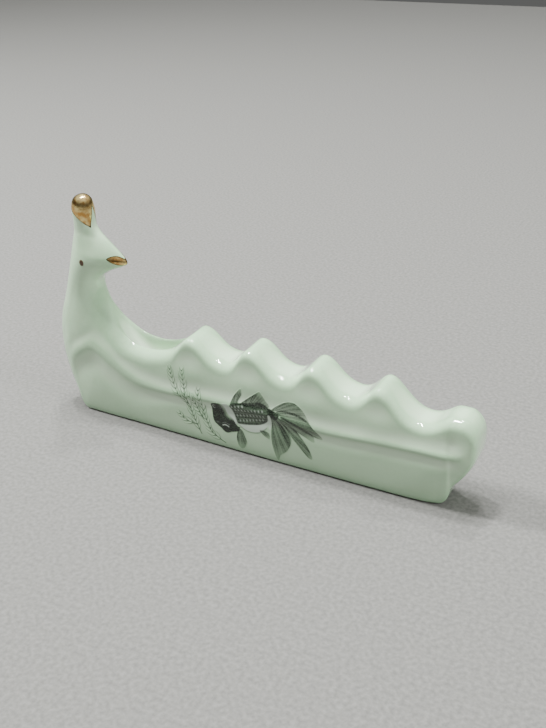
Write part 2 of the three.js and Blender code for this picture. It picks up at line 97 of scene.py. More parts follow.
# Cross-sections: lower or front outline point (x, z), back outline point (x, z or None for the humped
# back's own height), half-widths at the low end, middle and top, rounding of the two ends, trough depth.
FLAT, OVAL = (0, 0), (0.92, 0.92)
SLICES = [
    ((68.8, 19.7), (68.8, 20.7), (0.6, 0.6, 0.6), (0.9, 0.9), 0),
    ((68.7, 17.4), (68.7, 22.8), (3.5, 3.6, 3.5), (0.6, 0.6), 0),
    ((68.3, 15.8), (68.2, 24.6), (4.9, 5.1, 4.9), (0.4, 0.4), 0),
    ((67.5, 13.9), (67.3, 26.0), (5.3, 5.7, 5.4), (0.25, 0.25), 0),
    ((66.3, 11.8), (66.1, 27.0), (5.3, 5.9, 5.5), (0.15, 0.1), 0),
    ((64.7, 9.3), (64.4, 27.7), (5.1, 6.1, 5.5), (0.08, 0), 0),
    ((62.4, 6.0), (62.0, None), (4.9, 6.3, 5.5), FLAT, 0),
    ((62.1, 4.2), (61.4, None), (4.7, 6.4, 5.5), FLAT, 0),
    ((61.8, 2.7), (60.9, None), (4.5, 6.5, 5.6), FLAT, 0),
    ((60.9, 1.0), (60.1, None), (4.4, 6.5, 5.6), FLAT, 0),
    ((59.5, 0), (59.1, None), (4.5, 6.5, 5.6), FLAT, 0),
    ((57.8, 0), (57.4, None), (4.9, 6.6, 5.6), FLAT, 0),
    ((55, 0), (55, None), (5.4, 6.7, 5.7), FLAT, 0),
    ((40, 0), (40, None), (6.0, 6.9, 5.9), FLAT, 0),
    ((20, 0), (20, None), (6.3, 7.1, 6.0), FLAT, 0),
    ((0, 0), (0, None), (6.5, 7.2, 6.1), FLAT, 0),
    ((-12, 0), (-12, None), (6.5, 7.2, 6.2), FLAT, 0),
    ((-17.9, 0), (-17.9, None), (6.5, 7.2, 6.3), FLAT, 0),
    ((-22, 0), (-21.3, 31.0), (6.5, 7.2, 6.4), FLAT, 0.8),
    ((-26.5, 0), (-24.5, 28.6), (6.5, 7.3, 6.5), FLAT, 3.2),
    ((-32, 0), (-28.9, 27.0), (6.5, 7.3, 6.5), FLAT, 5.2),
    ((-39, 0), (-33.4, 26.4), (6.5, 7.3, 6.4), FLAT, 4.4),
    ((-46, 0), (-37.8, 27.0), (6.6, 7.3, 6.2), (0, 0.05), 3.2),
    ((-53, 0), (-41.8, 28.8), (6.6, 7.3, 5.9), (0, 0.2), 1.8),
    ((-58.6, 0), (-44.8, 31.3), (6.6, 7.2, 5.6), (0, 0.45), 0.8),
    ((-60.8, 1.0), (-46.2, 32.8), (6.4, 7.1, 5.5), (0.1, 0.6), 0.3),
    ((-62.8, 4.4), (-47.7, 35.0), (6.3, 7.0, 5.4), (0.3, 0.75), 0.1),
    ((-65.8, 10.8), (-49.3, 37.5), (6.2, 6.9, 5.3), (0.55, 0.88), 0),
    ((-68.2, 17.4), (-50.1, 39.6), (5.9, 6.6, 5.2), (0.8, 0.92), 0),
    ((-68.8, 23.2), (-50.6, 41.2), (5.5, 6.2, 5.1), OVAL, 0),
    ((-67.8, 30.0), (-50.9, 42.4), (5.1, 5.7, 5.0), OVAL, 0),
    ((-65.4, 36.6), (-51.0, 43.6), (4.9, 5.3, 4.8), OVAL, 0),
    ((-63.4, 42.4), (-50.7, 44.8), (4.8, 5.1, 4.5), OVAL, 0),
    ((-62.1, 46.6), (-49.2, 46.5), (4.8, 5.0, 4.0), OVAL, 0),
    ((-61.3, 49.6), (-45.8, 48.5), (4.8, 4.9, 2.9), OVAL, 0),
    ((-60.7, 51.8), (-42.4, 50.0), (4.8, 4.8, 1.9), OVAL, 0),
    ((-60.2, 53.8), (-40.5, 51.4), (4.7, 4.5, 1.3), OVAL, 0),
    ((-59.7, 55.6), (-42.7, 53.8), (4.2, 4.0, 1.7), OVAL, 0),
    ((-59.0, 57.8), (-46.2, 56.6), (3.6, 3.4, 2.0), OVAL, 0),
    ((-58.4, 60.2), (-49.3, 59.1), (3.1, 2.9, 2.3), OVAL, 0),
    ((-58.2, 62.8), (-51.1, 61.9), (2.9, 2.9, 2.6), OVAL, 0),
    ((-58.3, 66.0), (-51.1, 65.4), (3.1, 3.1, 3.0), OVAL, 0),
    ((-57.7, 68.6), (-51.4, 68.2), (2.8, 2.8, 2.7), OVAL, 0),
    ((-56.4, 70.1), (-52.4, 70.0), (1.9, 1.9, 1.9), OVAL, 0),
    ((-54.8, HEIGHT), (-54.1, HEIGHT), (0.4, 0.4, 0.4), OVAL, 0),
]

RIDGE = [  # the line along each flank: it arches over the chest and then runs back to the tail
    (-63.0, 17.5), (-58.0, 21.8), (-53.0, 24.2), (-46.8, 21.2), (-40.5, 17.7), (-33.7, 15.7), (-27.4, 15.4),
    (-13, 16.2),
    (0.5, 16.6), (13.5, 16.4), (26, 15.8), (43.7, 16.8), (60, 17.4), (69, 17.8),
]

ROWS = 680  # cross-sections along the bird
HALF_COLUMNS = 82  # points round half of each
CORNER_STEPS, FLAT_STEPS, FLANK_STEPS = 90, 60, 160  # points on a half outline before they are spread out
TURN_COST = 0.75  # a turn of one radian draws as many points to each side as this many millimetres
ROW_SOFTNESS = 0.5  # the glaze softens every change along the bird over this distance
GLAZE_PASSES = 5  # rounds of smoothing over the whole skin
HOLLOW_PASSES = 30  # and over the blurred copy that hollows and rims are found from
ON_BASE = 1e-5  # a point lower than this is on the flat base
TROUGH_SHADE = 0.15  # painted shade in the trough, counted as extra glaze thickness so the glaze is drawn deeper green there, above the low Z and round this X
TROUGH_SHADE_X, TROUGH_SHADE_SPREAD, TROUGH_SHADE_LOW_Z = -36, (11, 4.2), 18


# ---- curves

def shape_keeping_curve(xs, ys, x):
    """Smooth curve through the points (xs, ys), read at x, that never overshoots them."""
    xs, ys, x = (np.asarray(v, float) for v in (xs, ys, x))
    gap = np.diff(xs)
    slope = np.diff(ys) / gap
    tangent = np.zeros_like(ys)
    for k in range(1, len(xs) - 1):
        if slope[k - 1] * slope[k] > 0:
            before = 2 * gap[k] + gap[k - 1]
            after = gap[k] + 2 * gap[k - 1]
            tangent[k] = (before + after) / (before / slope[k - 1] + after / slope[k])
    tangent[0], tangent[-1] = slope[0], slope[-1]
    i = np.clip(np.searchsorted(xs, x) - 1, 0, len(xs) - 2)
    t = np.clip((x - xs[i]) / gap[i], 0, 1)
    back = 1 - t
    return (ys[i] * (1 + 2 * t) * back ** 2 + tangent[i] * gap[i] * t * back ** 2
            + ys[i + 1] * t * t * (3 - 2 * t) - tangent[i + 1] * gap[i] * t * t * back)


def bell(x, centre, spread):
    """1 at the centre, falling smoothly to nothing on both sides."""
    return np.exp(-((x - centre) / spread) ** 2)


def smooth(x, low, high):
    """0 up to low and 1 from high on, with a smooth rise between them; high may be the smaller."""
    t = np.clip((x - low) / (high - low), 0, 1)
    return t * t * (3 - 2 * t)


HUMP_X = [FIRST_HUMP_X + HUMP_PITCH * i for i in range(4)]
HUMP_X.append(HUMP_X[3] + TAIL_HUMP_PITCH)
DIP_X = [(HUMP_X[i] + HUMP_X[i + 1]) / 2 + DIP_LAG for i in range(4)]


def back_height(x):
    """Height of the humped back: half a wave from each crest down to the dip beside it."""
    x = np.asarray(x, float)
    i = np.clip(np.searchsorted(HUMP_X, x) - 1, 0, len(DIP_X) - 1)
    dip_x, dip_z = np.array(DIP_X)[i], np.array(DIP_HEIGHTS)[i]
    crest = i + (x > dip_x)
    crest_x, crest_z = np.array(HUMP_X)[crest], np.array(HUMP_HEIGHTS)[crest]
    phase = np.pi * np.clip((x - crest_x) / (dip_x - crest_x), 0, 1)
    wave = np.cos(phase) + CREST_SHARPNESS * (np.cos(2 * phase) - 1)
    return dip_z + (crest_z - dip_z) * (wave + 1) / 2


def relief(x, z):
    """How far the flank stands out beyond its plain width at (x, z)."""
    above = z - shape_keeping_curve([p[0] for p in RIDGE], [p[1] for p in RIDGE], x)
    chest = 1 - smooth(x, *CHEST_X)
    ridge_spread = RIDGE_SPREAD * (1 + CHEST_RIDGE_WIDER * chest)
    groove_drop = GROOVE_DROP + CHEST_GROOVE_DROP * chest
    groove_spread = GROOVE_SPREAD + CHEST_GROOVE_SPREAD * chest
    out = RIDGE_RISE * (1 - CHEST_RIDGE_LESS * chest) * bell(above, 0, ridge_spread)
    out -= UPPER_GROOVE_SHARE * GROOVE_DEPTH * bell(above, UPPER_GROOVE_CLIMB, UPPER_GROOVE_SPREAD)
    out -= GROOVE_DEPTH * bell(above, -groove_drop, groove_spread)
    out *= smooth(x, *RELIEF_START_X) * (1 - smooth(x, *RELIEF_END_X))
    for middle, crest in zip(HUMP_X, HUMP_HEIGHTS):
        for rise, past, below, spread_x, spread_z in (PILLOW, PEAK_HOLLOW):
            out += rise * bell(x, middle + past, spread_x) * bell(z, crest - below, spread_z)
    return out


# ---- the porcelain skin

def soften(values, spread):
    """Gaussian smoothing along the first axis, carried straight on past both ends."""
    reach = int(math.ceil(3 * spread))
    kernel = np.exp(-0.5 * (np.arange(-reach, reach + 1) / spread) ** 2)
    kernel /= kernel.sum()
    head = 2 * values[0] - values[reach:0:-1]
    tail = 2 * values[-1] - values[-2:-reach - 2:-1]
    padded = np.concatenate([head, values, tail])
    return np.stack([np.convolve(padded[:, c], kernel, mode="valid") for c in range(values.shape[1])], axis=1)


def cross_sections():
    """One row of numbers for each of the ROWS cross-sections, evenly spread along the bird."""
    table = np.array([[*low, top[0], back_height(top[0]) if top[1] is None else top[1], *half, *ends, dish]
                      for low, top, half, ends, dish in SLICES], float)
    low_step = np.hypot(*np.diff(table[:, 0:2], axis=0).T)
    top_step = np.hypot(*np.diff(table[:, 2:4], axis=0).T)
    travel = np.concatenate([[0], np.cumsum((low_step + top_step) / 2)])
    at = np.linspace(0, travel[-1], ROWS)
    rows = np.stack([shape_keeping_curve(travel, column, at) for column in table.T], axis=1)
    on_back = (rows[:, 2] >= FIRST_HUMP_X) & (rows[:, 2] <= LAST_UPRIGHT_X)
    rows[on_back, 3] = back_height(rows[on_back, 2])
    on_base = rows[:, 1] < 1e-6
    softened = soften(rows, ROW_SOFTNESS * ROWS / travel[-1])
    softened[on_base, 1] = 0
    return softened


def half_outline(row):
    """Half of one cross-section, from the middle of its low end to the middle of its top, as (x, out, z)."""
    low_x, low_z, top_x, top_z, low_half, mid_half, top_half, low_round, top_round, dish = row
    height = math.hypot(top_x - low_x, top_z - low_z)

    def width(v):
        t = v / height
        return (low_half + (4 * mid_half - 3 * low_half - top_half) * t
                + (2 * low_half + 2 * top_half - 4 * mid_half) * t * t)

    def blend(corner, full, share):
        return corner + (full - corner) * share

    low_along = blend(min(BASE_EDGE_RADIUS, height / 4), height / 2, low_round)
    low_across = blend(min(BASE_EDGE_RADIUS, low_half * CORNER_SHARE), low_half, low_round)
    rim = (RIM_RADIUS + TROUGH_RIM_EXTRA * smooth(dish, 0, FULL_TROUGH)
           - PEAK_RIM_LESS * smooth(top_z, *PEAK_RIM_Z))
    top_along = blend(min(rim, height * 0.3), height / 2, top_round)
    top_across = blend(min(rim, top_half * CORNER_SHARE), top_half, top_round)
    turn = np.linspace(0, math.pi / 2, CORNER_STEPS)
    share = np.linspace(0, 1, FLAT_STEPS)
    low_flat = np.stack([np.zeros(FLAT_STEPS), share * (low_half - low_across)], axis=1)
    along = low_along * (1 - np.cos(turn))
    low_corner = np.stack([along, width(along) - low_across * (1 - np.sin(turn))], axis=1)
    along = low_along + (height - top_along - low_along) * np.linspace(0, 1, FLANK_STEPS)
    flank = np.stack([along, width(along)], axis=1)
    along = height - top_along * (1 - np.sin(turn))
    edge = np.stack([along, width(along) - top_across * (1 - np.cos(turn))], axis=1)
    back = np.stack([np.full(FLAT_STEPS, height), (top_half - top_across) * (1 - share)], axis=1)
    points = np.concatenate([low_flat[:-1], low_corner[:-1], flank[:-1], edge[:-1], back])
    plain_width = width(np.clip(points[:, 0], 0, height))
    upper = points[:, 0] > height / 2
    points[upper, 0] -= dish * (1 - np.clip(points[upper, 1] / TROUGH_HALF_WIDTH, 0, 1) ** 3) ** 2
    x = low_x + (top_x - low_x) * points[:, 0] / height
    z = low_z + (top_z - low_z) * points[:, 0] / height
    sideways = smooth(points[:, 1] / plain_width, *SIDEWAYS) * min(1, mid_half / FULL_RELIEF_HALF_WIDTH)
    return np.stack([x, points[:, 1] + relief(x, z) * sideways, z], axis=1)


def spread_points(outline, count):
    """The same outline as count points, closer together where it turns."""
    step = np.diff(outline, axis=0)
    length = np.linalg.norm(step, axis=1)
    heading = step / np.maximum(length, 1e-9)[:, None]
    turning = np.zeros(len(outline))
    turning[1:-1] = np.arccos(np.clip((heading[1:] * heading[:-1]).sum(1), -1, 1))
    cost = length + TURN_COST * (turning[1:] + turning[:-1])
    travelled = np.concatenate([[0], np.cumsum(cost)])
    at = np.linspace(0, travelled[-1], count)
    return np.stack([np.interp(at, travelled, column) for column in outline.T], axis=1)


def skin_grid():
    """The whole skin as a grid (row, column, xyz), columns running once round each cross-section."""
    grid = []
    for row in cross_sections():
        half = spread_points(half_outline(row), HALF_COLUMNS)
        near = half * (1, -1, 1)
        grid.append(np.concatenate([near, half[-2:0:-1]]))
    grid = np.array(grid)
    base = grid[:, :, 2] < ON_BASE
    for _ in range(GLAZE_PASSES):
        around = (np.roll(grid, 1, axis=1) + np.roll(grid, -1, axis=1)) / 2
        along = grid.copy()
        along[1:-1] = (grid[:-2] + grid[2:]) / 2
        relaxed = 0.5 * grid + 0.25 * around + 0.25 * along
        relaxed[base, 2] = 0
        grid = relaxed
    grid[:, :, 2] = np.clip(grid[:, :, 2], 0, HEIGHT - TIP_ROOM)
    return grid


def grid_normals(grid):
    """Outward direction at every point of a grid."""
    around = np.roll(grid, -1, axis=1) - np.roll(grid, 1, axis=1)
    along = np.gradient(grid, axis=0)
    normal = np.cross(along, around)
    return normal / np.maximum(np.linalg.norm(normal, axis=2), 1e-12)[:, :, None]


def hollowness(grid, normals):
    """Above 0 in grooves and below 0 on rims and ridges, where the glaze runs thick and thin."""
    blurred = grid.copy()
    for _ in range(HOLLOW_PASSES):
        inner = blurred.copy()
        inner[1:-1] = (blurred[:-2] + blurred[2:]) / 2
        beside = np.roll(blurred, 1, axis=1) + np.roll(blurred, -1, axis=1)
        blurred = 0.4 * blurred + 0.3 * inner + 0.15 * beside
    return ((blurred - grid) * normals).sum(axis=2)


def add_mesh(name, vertices, faces):
    """A smooth-shaded mesh object from points in millimetres."""
    mesh = bpy.data.meshes.new(name)
    mesh.from_pydata((np.asarray(vertices) * MM).tolist(), [], faces)
    mesh.polygons.foreach_set("use_smooth", [True] * len(mesh.polygons))
    mesh.update()
    piece = bpy.data.objects.new(name, mesh)
    bpy.context.scene.collection.objects.link(piece)
    return piece


def set_attribute(piece, name, values):
    """Gives each of the piece's points a number that its material can read."""
    layer = piece.data.attributes.new(name, "FLOAT", "POINT")
    layer.data.foreach_set("value", np.asarray(values, np.float32))


skin = skin_grid()
rows, columns, _ = skin.shape
skin_normals = grid_normals(skin)

faces = []
for i in range(rows - 1):
    for j in range(columns):
        k = (j + 1) % columns
        faces.append((i * columns + j, (i + 1) * columns + j, (i + 1) * columns + k, i * columns + k))
tail_centre, tip_centre = rows * columns, rows * columns + 1
last = (rows - 1) * columns
for j in range(columns):
    k = (j + 1) % columns
    faces.append((tail_centre, j, k))
    faces.append((tip_centre, last + k, last + j))
ends = np.stack([skin[0].mean(axis=0), skin[-1].mean(axis=0)])
porcelain = add_mesh("porcelain", np.concatenate([skin.reshape(-1, 3), ends]), faces)
hollow = hollowness(skin, skin_normals)
# Painted shade in the trough: added to the hollowness, so the glaze there is drawn a deeper green.
hollow += (TROUGH_SHADE * bell(skin[:, :, 0], TROUGH_SHADE_X, TROUGH_SHADE_SPREAD[0])
           * bell(skin[:, :, 1], 0, TROUGH_SHADE_SPREAD[1]) * (skin[:, :, 2] > TROUGH_SHADE_LOW_Z))
set_attribute(porcelain, "hollow", np.concatenate([hollow.ravel(), [hollow[0].mean(), hollow[-1].mean()]]))
set_attribute(porcelain, "base", np.concatenate([(skin[:, :, 2] < ON_BASE).ravel(), [0, 0]]))

# ---- materials


class Nodes:
    """Small helper that adds nodes to a material or a world and joins them."""

    def __init__(self, owner, shader="Principled BSDF"):
        owner.use_nodes = True
        self.owner = owner
        self.tree = owner.node_tree
        self.shader = self.tree.nodes[shader]

    def put(self, value, socket):
        """Joins an output to a socket, or sets a plain value on it."""
        if isinstance(value, bpy.types.NodeSocket):
            self.tree.links.new(value, socket)
        else:
            socket.default_value = value

    def add(self, kind, sockets, **settings):
        """A new node with these settings, and with values or outputs put into its sockets."""
        node = self.tree.nodes.new(kind)
        for key, value in settings.items():
            setattr(node, key, value)
        for key, value in sockets.items():
            self.put(value, node.inputs[key])
        return node

    def shade(self, **values):
        """Puts values into the shader's own sockets, named with _ for a space."""
        for key, value in values.items():
            self.put(value, self.shader.inputs[key.replace("_", " ")])

    def position(self):
        return self.add("ShaderNodeNewGeometry", {}).outputs["Position"]

    def noise(self, scale, detail, roughness=0.5):
        sockets = {"Vector": self.position(), "Scale": scale, "Detail": detail, "Roughness": roughness}
        return self.add("ShaderNodeTexNoise", sockets).outputs["Fac"]

    def attribute(self, name):
        return self.add("ShaderNodeAttribute", {}, attribute_name=name).outputs["Fac"]

    def spread(self, value, low, high, to_low=0.0, to_high=1.0):
        sockets = {"Value": value, "From Min": low, "From Max": high, "To Min": to_low, "To Max": to_high}
        return self.add("ShaderNodeMapRange", sockets).outputs["Result"]

    def mix(self, share, first, second):
        return self.add("ShaderNodeMix", {0: share, 6: first, 7: second}, data_type="RGBA").outputs[2]

    def maths(self, operation, first, second):
        return self.add("ShaderNodeMath", {0: first, 1: second}, operation=operation).outputs[0]

    def bump(self, height, distance, strength):
        sockets = {"Height": height, "Distance": distance, "Strength": strength}
        return self.add("ShaderNodeBump", sockets).outputs["Normal"]


CELADON = (0.435, 0.612, 0.405, 1)
CELADON_THIN = (0.605, 0.735, 0.570, 1)
CELADON_DEEP = (0.240, 0.415, 0.235, 1)
CLAY = (0.66, 0.65, 0.60, 1)
SPECK = (0.16, 0.11, 0.06, 1)
POOLED_AT, THINNED_AT = 0.10, -0.14  # hollowness where the glaze is at its thickest and at its thinnest
POOLED_SHARE, THINNED_SHARE = 0.55, 0.50  # how far its colour then goes to the deep and to the thin one
DRIFT_SHARE, MOTTLE_SHARE = 0.16, 0.07
SPECK_CELLS = 170  # cells in a metre, of which few hold a speck
SPECK_SPARED = 0.965  # share of the cells without one
GLASS_IOR = 1.52


def celadon_colour(nodes, hollow):
    """Celadon glaze: pale where it runs thin on rims, deeper where it pools and where shade is painted into
    the trough, with slow drifts and specks.
    """
    pooled = nodes.spread(hollow, 0.0, POOLED_AT)
    thinned = nodes.spread(hollow, 0.0, THINNED_AT)
    drift = nodes.spread(nodes.noise(55, 3), 0.35, 0.68)
    colour = nodes.mix(nodes.maths("MULTIPLY", drift, DRIFT_SHARE), CELADON, CELADON_DEEP)
    colour = nodes.mix(nodes.maths("MULTIPLY", pooled, POOLED_SHARE), colour, CELADON_DEEP)
    colour = nodes.mix(nodes.maths("MULTIPLY", thinned, THINNED_SHARE), colour, CELADON_THIN)
    mottle = nodes.spread(nodes.noise(900, 2), 0.30, 0.70)
    colour = nodes.mix(nodes.maths("MULTIPLY", mottle, MOTTLE_SHARE), colour, CELADON_THIN)
    cell = nodes.add("ShaderNodeTexVoronoi", {"Vector": nodes.position(), "Scale": SPECK_CELLS})
    dot = nodes.spread(cell.outputs["Distance"], 0.055, 0.025)
    pick = nodes.add("ShaderNodeSeparateColor", {"Color": cell.outputs["Color"]})
    rare = nodes.maths("GREATER_THAN", pick.outputs[0], SPECK_SPARED)
    return nodes.mix(nodes.maths("MULTIPLY", dot, rare), colour, SPECK)


def glazed_finish(nodes, coat, specular):
    """A glassy surface, faintly uneven, with this much clear coat over it."""
    rough = nodes.spread(nodes.noise(260, 3), 0.3, 0.7, 0.05, 0.09)
    wave = nodes.bump(nodes.noise(140, 2), 0.00012, 0.6)
    nodes.shade(IOR=GLASS_IOR, Specular_IOR_Level=specular, Coat_Weight=coat, Coat_Roughness=0.03,
                Roughness=rough, Normal=wave)


def celadon_material():
    """The body's glaze, with bare clay on the base."""
    nodes = Nodes(bpy.data.materials.new("celadon_glaze"))
    glaze = celadon_colour(nodes, nodes.attribute("hollow"))
    nodes.shade(Base_Color=nodes.mix(nodes.attribute("base"), glaze, CLAY))
    glazed_finish(nodes, coat=1.0, specular=0.5)
    return nodes.owner


porcelain.data.materials.append(celadon_material())
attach(porcelain, "root")
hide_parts("porcelain_body")

# ---- thin layers fired on to the glaze

FILM_PROUD = 0.035  # how far gilding and transfers stand above the glaze
FILM_EDGE = 0.012  # the same at their rims
FILM_SUNK = 0.03  # how far their undersides reach into it
FILM_FINENESS = 3  # points of a film's grid for each one of the skin's
GILT_RUN = 0.25  # distance in from its edge at which gilding has its full height
INK_RUN = 0.4  # cover at which ink has its full height
OUTLINE_STEPS = 60  # sides of a painted outline
BESIDE = 20  # a distance across the bird that is well outside it


def clip_cells(values, polygons):
    """Cuts polygons (lists of point numbers) to where values are above 0.

    Returns the cut polygons, in numbers of new points, and for each new point the two old points it lies
    between and the share of the way from the first to the second.
    """
    numbers, sources, cut = {}, [], []

    def point(a, b):
        key = (a, b) if a <= b else (b, a)
        if key not in numbers:
            numbers[key] = len(sources)
            share = 0.0 if a == b else values[key[0]] / (values[key[0]] - values[key[1]])
            sources.append((key[0], key[1], share))
        return numbers[key]

    for polygon in polygons:
        above = [values[p] > 0 for p in polygon]
        if not any(above):
            continue
        corners = []
        for i, p in enumerate(polygon):
            q = polygon[(i + 1) % len(polygon)]
            if above[i]:
                corners.append(point(p, p))
            if above[i] != above[(i + 1) % len(polygon)]:
                corners.append(point(p, q))
        if len(corners) > 2:
            cut.append(corners)
    return cut, np.array(sources)


def between(array, sources):
    """Values at the new points of clip_cells, from those at the old points."""
    first, second, share = sources[:, 0].astype(int), sources[:, 1].astype(int), sources[:, 2]
    share = share.reshape(-1, *([1] * (array.ndim - 1)))
    return array[first] * (1 - share) + array[second] * share


def closed_film(name, top, under, polygons):
    """A closed thin piece between a top and an underside with the same polygons."""
    count = len(top)
    edges = dict.fromkeys((p, polygon[(i + 1) % len(polygon)]) for polygon in polygons
                          for i, p in enumerate(polygon))
    faces = [tuple(p) for p in polygons]
    faces += [tuple(p + count for p in reversed(polygon)) for polygon in polygons]
    faces += [(b, a, a + count, b + count) for a, b in edges if (b, a) not in edges]
    return add_mesh(name, np.concatenate([top, under]), faces)


def film_height(depth, run):
    """Height above the glaze: that of the film's edge at depth 0, and the full one from depth run on."""
    return FILM_EDGE + (FILM_PROUD - FILM_EDGE) * smooth(depth, 0, run)


def cubic(a, b, c, d, share):
    """A value this share of the way from b to c, on the smooth curve that also meets a and d."""
    return b + 0.5 * share * (c - a + share * (2 * a - 5 * b + 4 * c - d + share * (3 * (b - c) + d - a)))


def read_between(array, at, wrap):
    """Smooth reading between an array's entries, at these places counted in entries."""
    size = len(array)
    base = np.floor(at).astype(int)
    share = (at - base).reshape(-1, *([1] * (array.ndim - 1)))
    picks = [(base + k) % size if wrap else np.clip(base + k, 0, size - 1) for k in (-1, 0, 1, 2)]
    return cubic(*(array[pick] for pick in picks), share)


def refined(grid, row_span):
    """The same surface with more points, over a span of rows."""
    first, last = row_span
    rows_at = np.linspace(first, last, (last - first) * FILM_FINENESS + 1)
    columns_at = np.arange(grid.shape[1] * FILM_FINENESS) / FILM_FINENESS
    along = read_between(grid, rows_at, wrap=False)
    return read_between(along.swapaxes(0, 1), columns_at, wrap=True).swapaxes(0, 1)


def skin_film(name, row_span, inside, cap=None):
    """A film over the part of the skin where inside(x, y, z) is above 0, in millimetres from its edge.

    Where the span reaches the skin's last row, cap is the outward direction of its closing point.
    """
    fine = refined(skin, row_span)
    normals = grid_normals(fine)
    count, around = fine.shape[:2]
    points, directions = fine.reshape(-1, 3), normals.reshape(-1, 3)
    cells = [(i * around + j, (i + 1) * around + j, (i + 1) * around + (j + 1) % around,
              i * around + (j + 1) % around) for i in range(count - 1) for j in range(around)]
    if cap:
        points = np.concatenate([points, [fine[-1].mean(axis=0)]])
        directions = np.concatenate([directions, [cap]])
        final = (count - 1) * around
        cells += [(count * around, final + (j + 1) % around, final + j) for j in range(around)]
    depth = inside(*points.T)
    polygons, sources = clip_cells(depth, cells)
    place, out, depth = between(points, sources), between(directions, sources), between(depth, sources)
    top = place + out * film_height(depth, GILT_RUN)[:, None]
    piece = closed_film(name, top, place - out * FILM_SUNK, polygons)
    set_attribute(piece, "depth", np.concatenate([depth, depth]))
    return piece


def curve_through(points, count, closed=False):
    """A smooth curve through given points, as count points."""
    points = np.asarray(points, float)
    spans = len(points) if closed else len(points) - 1
    return read_between(points, np.linspace(0, spans, count, endpoint=not closed), wrap=closed)


def distance_to(path, x, z, closed=False):
    """Distance from each (x, z) to a polyline, and how far along the nearest point lies, 0 to 1."""
    starts = path if closed else path[:-1]
    ends = np.roll(path, -1, axis=0) if closed else path[1:]
    best = np.full(x.shape, 1e9)
    along = np.zeros(x.shape)
    for i, ((ax, az), (bx, bz)) in enumerate(zip(starts, ends)):
        dx, dz = bx - ax, bz - az
        t = np.clip(((x - ax) * dx + (z - az) * dz) / max(dx * dx + dz * dz, 1e-12), 0, 1)
        gap = np.hypot(x - ax - t * dx, z - az - t * dz)
        nearer = gap < best
        best = np.where(nearer, gap, best)
        along = np.where(nearer, (i + t) / len(starts), along)
    return best, along


def inside_outline(points, x, z):
    """Distance in from a smooth closed outline, below 0 outside it."""
    path = curve_through(points, OUTLINE_STEPS, closed=True)
    gap, _ = distance_to(path, x, z, closed=True)
    crossings = np.zeros(x.shape, int)
    for (ax, az), (bx, bz) in zip(path, np.roll(path, -1, axis=0)):
        if az != bz:
            spans = (az > z) != (bz > z)
            crossings += spans & (x < (bx - ax) * (z - az) / (bz - az) + ax)
    return np.where(crossings % 2 == 1, gap, -gap)


class Picture:
    """Ink laid on a fine square lattice over part of the flank: how much covers it, and how pale it is."""

    PITCH = 0.14
    LEAST = 0.05  # thinner ink than this leaves bare glaze

    def __init__(self, low, high):
        self.x, self.z = np.meshgrid(np.arange(low[0], high[0], self.PITCH),
                                     np.arange(low[1], high[1], self.PITCH), indexing="ij")
        self.cover = np.zeros(self.x.shape)
        self.tone = np.zeros(self.x.shape)

    def lay(self, amount, tone=0.0):
        """Covers a share of what is there, amount, with ink (tone 0), pale print (1) or a shade between."""
        amount = np.clip(amount, 0, 1)
        under = self.cover * (1 - amount)
        total = amount + under
        self.tone = np.where(total > 1e-6, (amount * tone + under * self.tone) / np.maximum(total, 1e-6), 0)
        self.cover = total

    def stroke(self, points, width, tip_width, dark, fade=0.0):
        """A brush stroke along a smooth path, narrowing to its tip and fading over the last part."""
        path = curve_through(points, 4 * len(points))
        gap, along = distance_to(path, self.x, self.z)
        half = 0.5 * (width + (tip_width - width) * along)
        amount = dark * (1 - smooth(gap, half - 0.10, half + 0.14))
        self.lay(amount * (1 - fade * smooth(along, 0.45, 1.0)))

    def film(self, name):
        """The picture as a thin closed piece lying on the near flank."""
        count_x, count_z = self.x.shape
        cells = [(i * count_z + j, (i + 1) * count_z + j, (i + 1) * count_z + j + 1, i * count_z + j + 1)
                 for i in range(count_x - 1) for j in range(count_z - 1)
                 if self.cover[i:i + 2, j:j + 2].max() > self.LEAST]
        cover = self.cover.ravel()
        polygons, sources = clip_cells(cover - self.LEAST, cells)
        x, z = between(self.x.ravel(), sources), between(self.z.ravel(), sources)
        cover, tone = between(cover, sources), between(self.tone.ravel(), sources)
        y = read_lattice(flank_y, x, z)
        top = np.stack([x, y - film_height(cover, INK_RUN), z], axis=1)
        piece = closed_film(name, top, np.stack([x, y + FILM_SUNK, z], axis=1), polygons)
        set_attribute(piece, "cover", np.concatenate([cover, cover]))
        set_attribute(piece, "tone", np.concatenate([tone, tone]))
        set_attribute(piece, "hollow", np.tile(read_lattice(flank_hollow, x, z), 2))
        return piece


# The near flank read once on a coarse lattice, then smoothly between its points.
FLANK_LOW, FLANK_HIGH, FLANK_PITCH = (-32.0, 0.2), (32.0, 27.0), 0.5
bird_tree = BVHTree.FromObject(porcelain, bpy.context.evaluated_depsgraph_get())
flank_x = np.arange(FLANK_LOW[0], FLANK_HIGH[0], FLANK_PITCH)
flank_z = np.arange(FLANK_LOW[1], FLANK_HIGH[1], FLANK_PITCH)
flank_y = np.full((len(flank_x), len(flank_z)), np.nan)
flank_hollow = flank_y.copy()
for i, x in enumerate(flank_x):
    for j, z in enumerate(flank_z):
        hit, _, face, _ = bird_tree.ray_cast(Vector((x, -BESIDE, z)) * MM, Vector((0, 1, 0)))
        if hit:
            flank_y[i, j] = hit.y / MM
            flank_hollow[i, j] = hollow.ravel()[porcelain.data.polygons[face].vertices[0]]
    met = ~np.isnan(flank_y[i])
    for lattice in (flank_y, flank_hollow):
        lattice[i] = np.interp(flank_z, flank_z[met], lattice[i, met])


def read_lattice(lattice, x, z):
    """Smooth reading between the flank lattice's points."""
    u = np.clip((x - FLANK_LOW[0]) / FLANK_PITCH, 1, lattice.shape[0] - 3)
    v = np.clip((z - FLANK_LOW[1]) / FLANK_PITCH, 1, lattice.shape[1] - 3)
    i, j = np.floor(u).astype(int), np.floor(v).astype(int)
    steps = (-1, 0, 1, 2)
    return cubic(*(cubic(*(lattice[i + m, j + n] for n in steps), v - j) for m in steps), u - i)


# ---- the goldfish

